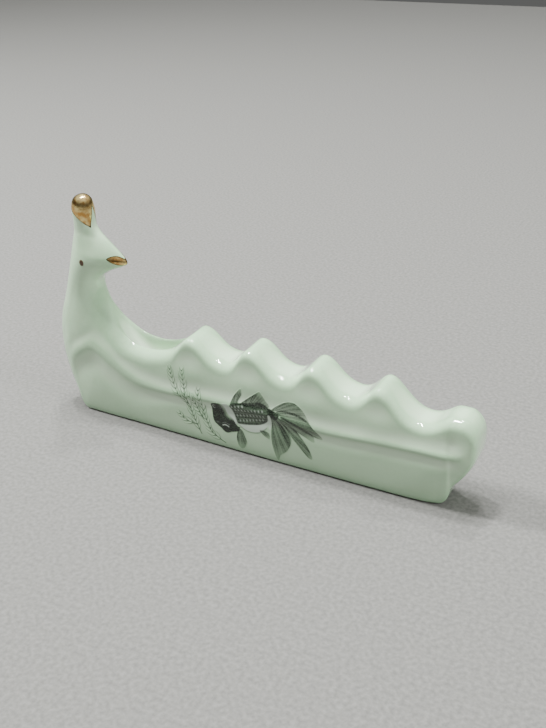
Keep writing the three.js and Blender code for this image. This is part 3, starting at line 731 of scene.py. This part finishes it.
RAY_DRIFT, RAY_DRIFT_PACE = 0.8, 3.1  # the rays' spacing drifts by this many radians, at this pace
FINE_RAYS = 2.7  # fine rays for each main one
FINE_RAY_LIGHT = 0.14  # share of the ink lost between those
FIN_FADE = 0.62  # share of the ink lost at the end of a fin
FIN_END = 1.06  # share of its reach where it has faded so far


def paint_fin(picture, root, outline, dark, rays, fade_from, light=0.20, phase=0.0):
    """A fin: rays spreading from its root, fading past fade_from, a share of its reach, with a soft outline.

    light is the share of the ink lost between the rays, and phase shifts the rays round the root.
    """
    x, z = picture.x, picture.z
    depth = inside_outline(outline, x, z)
    reach = max(math.hypot(px - root[0], pz - root[1]) for px, pz in outline)
    away = np.hypot(x - root[0], z - root[1]) / reach
    bearing = np.arctan2(z - root[1], x - root[0])
    ray = 0.5 + 0.5 * np.cos(rays * bearing + phase + RAY_DRIFT * np.sin(RAY_DRIFT_PACE * bearing + phase))
    fine = 0.5 + 0.5 * np.cos(FINE_RAYS * rays * bearing + 2.0 * phase)
    amount = dark * (1 - light * ray - FINE_RAY_LIGHT * fine)
    amount *= 1 - FIN_FADE * smooth(away, fade_from, FIN_END)
    edge = smooth(depth, -0.10, 0.22) * (0.88 + 0.12 * smooth(depth, 1.2, 0.1))
    picture.lay(amount * edge)


TAIL_ROOT = (9.6, 17.3)
TAIL_LOBES = [  # outline, darkness, number of rays round the root, where it starts to fade
    ([(10.2, 16.6), (9.9, 12.3), (9.8, 8.2), (10.4, 4.2), (11.7, 1.2), (12.7, 3.4), (15.0, 5.8), (16.2, 9.2),
      (14.0, 13.0)], 0.97, 34, 0.62),
    ([(10.8, 17.2), (12.2, 13.4), (13.8, 10.4), (15.4, 8.0), (16.4, 9.8), (15.0, 13.2)], 0.92, 36, 0.66),
    ([(12.0, 16.9), (15.4, 12.0), (18.5, 8.4), (21.4, 5.2), (22.8, 5.1), (22.0, 8.0), (20.0, 11.0),
      (16.7, 14.2)], 0.97, 40, 0.86),
    ([(13.0, 16.8), (17.4, 13.3), (20.6, 11.9), (23.5, 11.0), (22.9, 13.3), (19.6, 15.2), (16.2, 16.6)],
     0.92, 42, 0.72),
    ([(11.6, 18.1), (16.0, 15.6), (19.9, 13.8), (23.0, 12.7), (26.0, 12.5), (24.9, 14.4), (22.6, 16.9),
      (20.2, 18.4), (16.3, 19.1)], 0.97, 44, 0.80),
    ([(10.2, 18.2), (12.2, 20.3), (14.8, 21.9), (17.4, 22.3), (19.8, 20.9), (21.2, 18.9), (22.2, 16.9),
      (18.6, 18.0), (14.0, 18.4)], 0.96, 38, 0.72),
]
TAIL_STEM = [(8.8, 18.6), (11.0, 18.3), (12.9, 17.4), (12.3, 15.8), (11.0, 15.0), (10.0, 15.8),
             (9.0, 16.6)]
BACK_FINS = [
    ((-2.2, 15.6), [(-3.2, 16.6), (-2.6, 19.0), (-1.5, 20.8), (0.3, 22.8), (0.6, 20.8), (-0.4, 18.8),
                    (-1.0, 17.0)], 0.99, 24, 0.66),
    ((1.0, 14.4), [(0.2, 17.6), (2.2, 19.9), (4.2, 21.6), (6.3, 23.2), (7.3, 22.2), (8.2, 20.9), (9.4, 18.8),
                   (5.0, 17.6)], 0.99, 26, 0.78),
]
BELLY_FINS = [
    ((-0.6, 10.6), [(-0.9, 8.8), (-1.6, 7.4), (-2.0, 5.2), (-1.6, 3.0), (-0.7, 1.9), (0.5, 2.4), (1.5, 4.6),
                    (1.2, 6.4), (0.2, 8.8)], 0.98, 16, 0.62),
    ((5.6, 11.6), [(6.1, 10.2), (7.7, 10.7), (9.3, 10.1), (9.3, 8.1), (7.8, 8.6)], 0.96, 14, 0.60),
]
FISH_BACK = [(-3.6, 15.6), (-3.0, 17.1), (-0.5, 18.0), (3.0, 18.8), (6.2, 19.7), (8.2, 19.2), (9.8, 18.3),
             (11.2, 17.7), (10.6, 16.6), (9.3, 15.6), (8.6, 13.6), (6.6, 12.2), (3.2, 11.2), (-0.2, 10.6),
             (-1.5, 11.0), (-2.4, 13.2)]
FISH_BELLY = [(-1.2, 10.9), (1.2, 9.2), (3.6, 8.9), (6.3, 9.7), (8.4, 11.6), (9.3, 14.0), (9.6, 16.4),
              (8.4, 14.8), (6.4, 12.6), (3.0, 11.6)]
FISH_GAP = [(9.2, 16.3), (9.9, 16.2), (10.0, 14.0), (9.7, 11.6), (9.1, 11.9), (9.0, 14.2)]
FISH_CHEEK = [(-6.3, 16.1), (-4.4, 16.6), (-3.3, 15.8), (-2.4, 13.6), (-1.3, 11.0), (-1.8, 9.9), (-2.8, 11.3),
              (-4.2, 12.6), (-5.4, 14.0)]
FISH_HEAD = [(-10.0, 14.7), (-9.4, 15.6), (-8.0, 16.1), (-6.0, 16.0), (-5.3, 14.9), (-4.8, 13.2),
             (-3.4, 12.4), (-2.4, 11.4), (-1.4, 9.9), (-0.4, 9.5), (-1.1, 7.9), (-3.2, 7.1), (-5.2, 6.4),
             (-7.0, 7.5), (-8.2, 8.3), (-9.3, 9.4), (-9.8, 12.0)]
BELLY_LINE = [(-0.6, 10.2), (1.2, 9.1), (3.6, 8.8), (6.3, 9.7), (8.4, 11.6)]
SCALE_BAND = 0.9  # from one dark band of scales to the next
SCALE_ROWS = [  # first and last pale fleck of each row, how many, how pale
    ((-2.7, 16.1), (0.9, 17.1), 4, 0.80),
    ((-1.7, 15.2), (7.4, 17.2), 9, 0.66),
    ((-1.3, 13.3), (7.6, 15.4), 9, 0.66),
    ((-0.2, 11.9), (7.2, 13.9), 8, 0.66),
]
FLECK_SLANT = (0.92, 0.38)  # about the cosine and sine of the flecks' lean
FLECK_SIZE = (0.17, 0.34)  # across and along a fleck
UPPER_EYE, UPPER_EYE_RADIUS = (-9.0, 14.5), 1.15
LOWER_EYE, LOWER_EYE_RADIUS = (-5.1, 8.2), 1.85
GLINTS = [  # path, half-width, strength and tone of the light lines over the lower eye
    ([(-6.3, 8.7), (-5.6, 9.0), (-4.9, 8.9), (-4.3, 8.6)], 0.17, 0.92, 1.0),
    ([(-6.4, 9.5), (-5.2, 9.8), (-4.0, 9.3)], 0.12, 0.35, 0.7),
]


def paint_fish_body(fish):
    """The pale belly, the banded back with its rows of flecks, and the cheek."""
    x, z = fish.x, fish.z
    fish.lay(0.86 * smooth(inside_outline(FISH_BELLY, x, z), -0.12, 0.30), tone=0.97)
    belly_line, _ = distance_to(curve_through(BELLY_LINE, 24), x, z)
    fish.lay(0.42 * (1 - smooth(belly_line, 0.08, 0.30)))
    back = inside_outline(FISH_BACK, x, z)
    band = 0.5 + 0.5 * np.cos(2 * np.pi * (z - 0.17 * x) / SCALE_BAND)
    fish.lay((0.93 - 0.09 * band) * smooth(back, -0.10, 0.30))
    fish.lay(0.35 * smooth(back, -0.1, 0.2) * smooth(back, 1.6, 0.2))
    fish.lay(0.88 * smooth(inside_outline(FISH_GAP, x, z), -0.16, 0.16), tone=1.0)
    for start, end, count, pale in SCALE_ROWS:
        for k in range(count):
            share = k / (count - 1)
            from_x = x - start[0] - (end[0] - start[0]) * share
            from_z = z - start[1] - (end[1] - start[1]) * share
            across = from_x * FLECK_SLANT[0] + from_z * FLECK_SLANT[1]
            down = from_z * FLECK_SLANT[0] - from_x * FLECK_SLANT[1]
            fish.lay(pale * bell(across, 0, FLECK_SIZE[0]) * bell(down, 0, FLECK_SIZE[1]), tone=0.92)
    fish.lay(0.90 * smooth(inside_outline(FISH_CHEEK, x, z), -0.25, 0.35), tone=0.90)


def paint_fish_head(fish):
    """The black head, thinning towards the cheek, with two bulging eyes and their glints."""
    x, z = fish.x, fish.z
    head = inside_outline(FISH_HEAD, x, z)
    towards_cheek = smooth((x + 6.4) * 0.80 + (z - 13.6) * 0.42, -0.2, 2.2) * smooth(z, 10.8, 12.6)
    fish.lay(0.99 * smooth(head, -0.12, 0.16) * (1 - 0.92 * towards_cheek))
    for centre, radius in ((UPPER_EYE, UPPER_EYE_RADIUS), (LOWER_EYE, LOWER_EYE_RADIUS)):
        away = np.hypot(x - centre[0], z - centre[1])
        fish.lay(0.99 * (1 - smooth(away, radius - 0.12, radius + 0.12)))
    crescent = np.hypot(x - UPPER_EYE[0], z - UPPER_EYE[1] + 0.1)
    side = smooth(UPPER_EYE[0] + 0.35 - x, -0.3, 0.5)
    fish.lay(0.60 * bell(crescent, 0.55, 0.16) * side, tone=0.75)
    for path, half_width, strength, tone in GLINTS:
        gap, _ = distance_to(curve_through(path, 12), x, z)
        fish.lay(strength * bell(gap, 0, half_width), tone=tone)
    fish.lay(0.25 * bell(x, -7.9, 0.5) * bell(z, 9.4, 0.25), tone=0.6)


def paint_goldfish():
    """From the back forwards: tail, back fins, body, belly fins, head."""
    fish = Picture((-12.0, 0.6), (27.4, 24.2))
    for i, (outline, dark, rays, fade_from) in enumerate(TAIL_LOBES):
        paint_fin(fish, TAIL_ROOT, outline, dark, rays, fade_from, phase=1.7 * i)
    fish.lay(0.96 * smooth(inside_outline(TAIL_STEM, fish.x, fish.z), -0.15, 0.45))
    for root, outline, dark, rays, fade_from in BACK_FINS:
        paint_fin(fish, root, outline, dark, rays, fade_from, light=0.10)
    paint_fish_body(fish)
    for root, outline, dark, rays, fade_from in BELLY_FINS:
        paint_fin(fish, root, outline, dark, rays, fade_from, light=0.16)
    paint_fish_head(fish)
    return fish.film("goldfish")


# ---- the waterweed

LARGE_SPRIG = [  # each stem from its tip down to its foot
    [(-23.9, 23.4), (-23.4, 21.0), (-22.9, 18.6), (-21.5, 16.2), (-19.6, 14.0), (-17.8, 12.2), (-16.7, 9.3),
     (-15.5, 6.1), (-14.4, 3.2)],
    [(-19.6, 24.0), (-19.5, 21.4), (-19.3, 18.7), (-18.9, 16.0), (-18.4, 13.0)],
    [(-21.6, 8.6), (-19.6, 6.9), (-17.3, 6.4), (-15.6, 6.3)],
]
SMALL_SPRIG = [
    [(-14.4, 18.6), (-14.3, 16.0), (-13.4, 13.4), (-12.6, 10.8), (-11.8, 8.2), (-10.6, 5.2), (-8.7, 3.8),
     (-6.0, 2.3)],
    [(-17.4, 16.0), (-15.9, 13.6), (-14.4, 11.2), (-12.9, 9.0)],
]
STEM_WIDTH, STEM_TIP_WIDTH, STEM_DARK = 0.30, 0.14, 0.78
LEAF_WIDTH, LEAF_TIP_WIDTH = 0.26, 0.10
LEAF_GAP = (1.25, 1.85)  # from one pair of leaves to the next
LEAF_LENGTH = (2.5, 3.7)
LEAF_LEAN = (0.36, 0.60)  # angle between a leaf and its stem
LEAF_DARK = (0.62, 0.86)
FIRST_LEAF, LAST_LEAF = 0.3, 0.6  # how near the stem's tip and foot leaves may stand
YOUNG, GROWTH, GROWN_AT = 0.55, 0.5, 4  # a leaf's share of its length at the tip, and what it gains by here
LEAF_BOW, LEAF_RETURN = 1.35, 0.8  # a leaf's middle and its end lean by these shares of its angle


def paint_sprig(name, stems, low, high, seed):
    """Stems with pairs of fine leaves at close nodes, each pair opening towards the stem's tip."""
    draw = np.random.default_rng(seed)
    sprig = Picture(low, high)
    for stem in stems:
        path = curve_through(stem, 80)
        step = np.linalg.norm(np.diff(path, axis=0), axis=1)
        travel = np.concatenate([[0], np.cumsum(step)])
        sprig.stroke(stem[::-1], STEM_WIDTH, STEM_TIP_WIDTH, STEM_DARK, fade=0.4)
        at = FIRST_LEAF
        while at < travel[-1] - LAST_LEAF:
            foot = np.array([np.interp(at, travel, path[:, c]) for c in (0, 1)])
            before = np.array([np.interp(max(at - 0.6, 0), travel, path[:, c]) for c in (0, 1)])
            heading = math.atan2(foot[1] - before[1], foot[0] - before[0]) + math.pi
            for side in (-1, 1):
                turn = side * draw.uniform(*LEAF_LEAN)
                length = draw.uniform(*LEAF_LENGTH) * (YOUNG + GROWTH * min(1, at / GROWN_AT))
                out, inward = heading + LEAF_BOW * turn, heading + LEAF_RETURN * turn
                middle = foot + 0.5 * length * np.array([math.cos(out), math.sin(out)])
                tip = foot + length * np.array([math.cos(inward), math.sin(inward)])
                dark = draw.uniform(*LEAF_DARK)
                sprig.stroke([foot, middle, tip], LEAF_WIDTH, LEAF_TIP_WIDTH, dark, fade=0.55)
            sprig.lay(0.30 * np.exp(-((sprig.x - foot[0]) ** 2 + (sprig.z - foot[1]) ** 2) / 0.05))
            at += draw.uniform(*LEAF_GAP)
    return sprig.film(name)


INK = (0.008, 0.011, 0.008, 1)
WEED_INK = (0.030, 0.055, 0.030, 1)
BARE_PATCH = (0.52, 0.60, 0.52, 1)


def transfer_material(name, ink):
    """Grainy ink without a coat: it hides the glaze by the picture's cover and pales by its tone."""
    nodes = Nodes(bpy.data.materials.new(name))
    glaze = celadon_colour(nodes, nodes.attribute("hollow"))
    cover = nodes.attribute("cover")
    grain = nodes.spread(nodes.noise(2600, 2), 0.30, 0.70, -0.10, 0.08)
    grainy_cover = nodes.maths("ADD", cover, nodes.maths("MULTIPLY", grain, cover))
    pigment = nodes.mix(nodes.attribute("tone"), ink, BARE_PATCH)
    nodes.shade(Base_Color=nodes.mix(grainy_cover, glaze, pigment))
    glazed_finish(nodes, coat=0.0, specular=0.32)
    return nodes.owner


fish_ink = transfer_material("ink_transfer", INK)
weed_ink = transfer_material("weed_transfer", WEED_INK)
goldfish = paint_goldfish()
large_sprig = paint_sprig("waterweed_large", LARGE_SPRIG, (-28.5, 1.0), (-13.0, 26.0), 11)
small_sprig = paint_sprig("waterweed_small", SMALL_SPRIG, (-20.0, 0.8), (-4.6, 21.0), 5)
for piece, node, slot, material in (
        (goldfish, "goldfish_transfer", "ink_transfer", fish_ink),
        (large_sprig, "waterweed_large_transfer", "weed_transfer", weed_ink),
        (small_sprig, "waterweed_small_transfer", "weed_transfer", weed_ink)):
    piece.data.materials.append(material)
    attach(piece, "root")
    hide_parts(node)

# ---- gilding and eyes

GILT_EDGE = ((-57.6, 66.6), (-51.2, 61.0))  # the crest's gilding lies above the line through these (x, z)
NOTCH_X = -53.0  # in front of this a bare strip runs up the crest
NOTCH_HALF_WIDTH = 1.5
NOTCH_TOP_Z = 67.5
NOTCH_HEIGHT = 6.5
BEAK_LEAF = [(-45.9, 52.8), (-45.0, 53.4), (-43.6, 53.6), (-42.2, 53.1), (-40.6, 52.0), (-40.0, 51.2),
             (-41.0, 50.6), (-42.5, 50.8), (-43.7, 51.3), (-45.0, 52.0)]
BEAK_TOP_HALF_WIDTH = 0.8  # the bare strip along the top of the beak, which closes at the tip
BEAK_STRIP_END_X = -41.4
BEAK_STRIP_LENGTH = 3.5
BEAK_FROM_Z, CREST_FROM_Z = 48.0, 58.0  # heights up the neck's front where the beak and the crest begin
EYE_CENTRE = (-53.9, 51.0)
EYE_RADII = (0.82, 0.98)
EYE_DOME = 0.16  # height of the enamel
EYE_FULLNESS = 2.6  # the higher, the flatter its middle and the steeper its rim
EYE_RINGS, EYE_SPOKES = 9, 36

GOLD, GOLD_THIN, GOLD_BURNT = (0.88, 0.70, 0.32, 1), (0.52, 0.28, 0.08, 1), (0.055, 0.030, 0.008, 1)
ENAMEL, ENAMEL_DARK, ENAMEL_RIM = (0.060, 0.030, 0.012, 1), (0.030, 0.016, 0.008, 1), (0.13, 0.09, 0.05, 1)


def crest_depth(x, y, z):
    """Distance in from the edge of the crest's gilding, below 0 outside it."""
    (ax, az), (bx, bz) = GILT_EDGE
    length = math.hypot(bx - ax, bz - az)
    above = ((bx - ax) * (z - az) - (bz - az) * (x - ax)) / length
    strip = NOTCH_HALF_WIDTH * np.clip((NOTCH_TOP_Z - z) / NOTCH_HEIGHT, 0, 1)
    beside = np.abs(y) - strip + np.maximum(0, NOTCH_X - x)
    return np.minimum(above, np.where(z > NOTCH_TOP_Z, above, beside))


def beak_depth(x, y, z):
    """The same for the gold leaf that wraps both sides of the beak."""
    leaf = inside_outline(BEAK_LEAF, x, z)
    strip = BEAK_TOP_HALF_WIDTH * np.clip((BEAK_STRIP_END_X - x) / BEAK_STRIP_LENGTH, 0, 1)
    return np.minimum(leaf, np.abs(y) - strip)


def gold_material():
    """Bright gold lustre: thin and reddish here and there, with a dark burnt line round its edge."""
    nodes = Nodes(bpy.data.materials.new("gold_lustre"))
    patches = nodes.spread(nodes.noise(420, 3, 0.6), 0.38, 0.62)
    burnt = nodes.maths("MULTIPLY", nodes.spread(nodes.attribute("depth"), 0.34, 0.06), 0.85)
    nodes.shade(Base_Color=nodes.mix(burnt, nodes.mix(patches, GOLD, GOLD_THIN), GOLD_BURNT), Metallic=1.0,
                Roughness=nodes.spread(nodes.noise(700, 3), 0.3, 0.7, 0.10, 0.26),
                Normal=nodes.bump(nodes.noise(1100, 3), 0.00010, 0.5))
    return nodes.owner


def eye_material():
    """Thick brown enamel, paler at the rim."""
    nodes = Nodes(bpy.data.materials.new("eye_enamel"))
    blotch = nodes.spread(nodes.noise(1500, 2), 0.35, 0.65)
    rim = nodes.spread(nodes.attribute("depth"), 0.30, 0.02)
    nodes.shade(Base_Color=nodes.mix(rim, nodes.mix(blotch, ENAMEL, ENAMEL_DARK), ENAMEL_RIM),
                Roughness=nodes.spread(nodes.noise(900, 2), 0.3, 0.7, 0.10, 0.20),
                Normal=nodes.bump(nodes.noise(1200, 2), 0.00006, 0.5))
    return nodes.owner


def eye_piece(name, side):
    """A low dome of enamel on the cheek, on the near side (side -1) or the far one (side 1)."""
    top, under, depths = [], [], []
    for ring in range(EYE_RINGS + 1):
        share = ring / EYE_RINGS
        for spoke in range(EYE_SPOKES if ring else 1):
            turn = 2 * math.pi * spoke / EYE_SPOKES
            x = EYE_CENTRE[0] + EYE_RADII[0] * share * math.cos(turn)
            z = EYE_CENTRE[1] + EYE_RADII[1] * share * math.sin(turn)
            hit, normal, _, _ = bird_tree.ray_cast(Vector((x, BESIDE * side, z)) * MM, Vector((0, -side, 0)))
            top.append(hit / MM + normal * (FILM_EDGE + EYE_DOME * (1 - share ** EYE_FULLNESS)))
            under.append(hit / MM - normal * FILM_SUNK)
            depths.append((1 - share) * EYE_RADII[0])
    polygons = []
    for spoke in range(EYE_SPOKES):
        after = (spoke + 1) % EYE_SPOKES
        polygons.append((0, 1 + spoke, 1 + after))
        for ring in range(1, EYE_RINGS):
            a, b = 1 + (ring - 1) * EYE_SPOKES, 1 + ring * EYE_SPOKES
            polygons.append((a + spoke, b + spoke, b + after, a + after))
    if side > 0:
        polygons = [tuple(reversed(p)) for p in polygons]
    piece = closed_film(name, np.array(top), np.array(under), polygons)
    set_attribute(piece, "depth", depths * 2)
    return piece


front_heights = cross_sections()[:, 1]
crest_from = int(np.argmax(front_heights > CREST_FROM_Z))
beak_from = int(np.argmax(front_heights > BEAK_FROM_Z))
crest = skin_film("crest_gilding_lustre", (crest_from, rows - 1), crest_depth, cap=(0, 0, 1))
beak = skin_film("beak_gilding_lustre", (beak_from, crest_from), beak_depth)
gold = gold_material()
enamel = eye_material()
for piece, nodes_replaced, slot, material in (
        (crest, ("crest_gilding",), "gold_lustre", gold),
        (beak, ("beak_gilding_near", "beak_gilding_far"), "gold_lustre", gold),
        (eye_piece("eye_enamel_near", -1), ("eye_near",), "eye_enamel", enamel),
        (eye_piece("eye_enamel_far", 1), ("eye_far",), "eye_enamel", enamel)):
    piece.data.materials.append(material)
    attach(piece, "root")
    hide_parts(*nodes_replaced)

# ---- floor, lights and camera


def floor_material():
    nodes = Nodes(bpy.data.materials.new("pale_floor"))
    grain = nodes.spread(nodes.noise(900, 4), 0.3, 0.7)
    nodes.shade(Base_Color=nodes.mix(grain, (0.115, 0.115, 0.108, 1), (0.165, 0.165, 0.155, 1)),
                Roughness=0.85, Specular_IOR_Level=0.2)
    return nodes.owner


FLOOR_HALF = 900  # half the side of the square floor
floor = add_mesh("floor", [(-FLOOR_HALF, -FLOOR_HALF, 0), (FLOOR_HALF, -FLOOR_HALF, 0),
                           (FLOOR_HALF, FLOOR_HALF, 0), (-FLOOR_HALF, FLOOR_HALF, 0)], [(0, 1, 2, 3)])
floor.data.materials.append(floor_material())

room = Nodes(bpy.data.worlds.new("soft_room"), "Background")
direction = room.add("ShaderNodeTexCoord", {}).outputs["Generated"]
height = room.add("ShaderNodeSeparateXYZ", {"Vector": direction}).outputs["Z"]
climb = {"Value": height, "From Min": 0.10, "From Max": 0.85, "To Min": 0.12, "To Max": 1.0}
glow = room.add("ShaderNodeMapRange", climb, interpolation_type="SMOOTHSTEP").outputs["Result"]
room.shade(Color=(0.96, 0.97, 0.95, 1), Strength=glow)
bpy.context.scene.world = room.owner

LAMPS_AIM = Vector((0, 0, 0.02))
LAMPS = [  # round soft lamps: place in metres, size, power, and whether the glaze mirrors them
    ("side_light", (-0.75, -0.12, 0.66), 0.14, 22.0, False),
    ("overhead", (-0.10, 0.15, 1.00), 0.40, 2.0, False),
    ("right_fill", (0.85, -0.05, 0.40), 0.35, 8.0, False),
    ("ceiling_a", (-0.16, 0.10, 0.90), 0.080, 8.0, True),
    ("ceiling_b", (0.02, 0.16, 0.95), 0.050, 4.0, True),
    ("ceiling_c", (-0.10, 0.34, 0.90), 0.060, 5.0, True),
    ("ceiling_d", (-0.22, -0.06, 0.90), 0.050, 4.0, True),
]
for name, place, size, power, mirrored in LAMPS:
    light = bpy.data.lights.new(name, "AREA")
    light.shape = "DISK"
    light.size = size
    light.energy = power
    lamp = bpy.data.objects.new(name, light)
    lamp.location = place
    lamp.rotation_euler = (LAMPS_AIM - Vector(place)).to_track_quat("-Z", "Y").to_euler()
    lamp.visible_glossy = mirrored
    bpy.context.scene.collection.objects.link(lamp)

CAMERA_LENS = 44.8
CAMERA_SENSOR = 36.0  # its height
CAMERA_DISTANCE = 256.5  # from its target
CAMERA_TARGET = Vector((7.25, 0, 28.84))
CAMERA_AZIMUTH = math.radians(29.48)
CAMERA_ELEVATION = math.radians(29.07)
CAMERA_ROLL = math.radians(-2.01)

camera_data = bpy.data.cameras.new("camera")
camera_data.sensor_fit = "VERTICAL"
camera_data.sensor_height = CAMERA_SENSOR
camera_data.lens = CAMERA_LENS
camera_data.clip_start = 0.01
camera = bpy.data.objects.new("camera", camera_data)
away = Vector((math.sin(CAMERA_AZIMUTH) * math.cos(CAMERA_ELEVATION),
               -math.cos(CAMERA_AZIMUTH) * math.cos(CAMERA_ELEVATION), math.sin(CAMERA_ELEVATION)))
level = Vector((math.cos(CAMERA_AZIMUTH), math.sin(CAMERA_AZIMUTH), 0))
upward = level.cross(-away)
right = level * math.cos(CAMERA_ROLL) + upward * math.sin(CAMERA_ROLL)
up = upward * math.cos(CAMERA_ROLL) - level * math.sin(CAMERA_ROLL)
placement = Matrix((right, up, away)).transposed().to_4x4()
placement.translation = (CAMERA_TARGET + away * CAMERA_DISTANCE) * MM
camera.matrix_world = placement
bpy.context.scene.collection.objects.link(camera)
bpy.context.scene.camera = camera
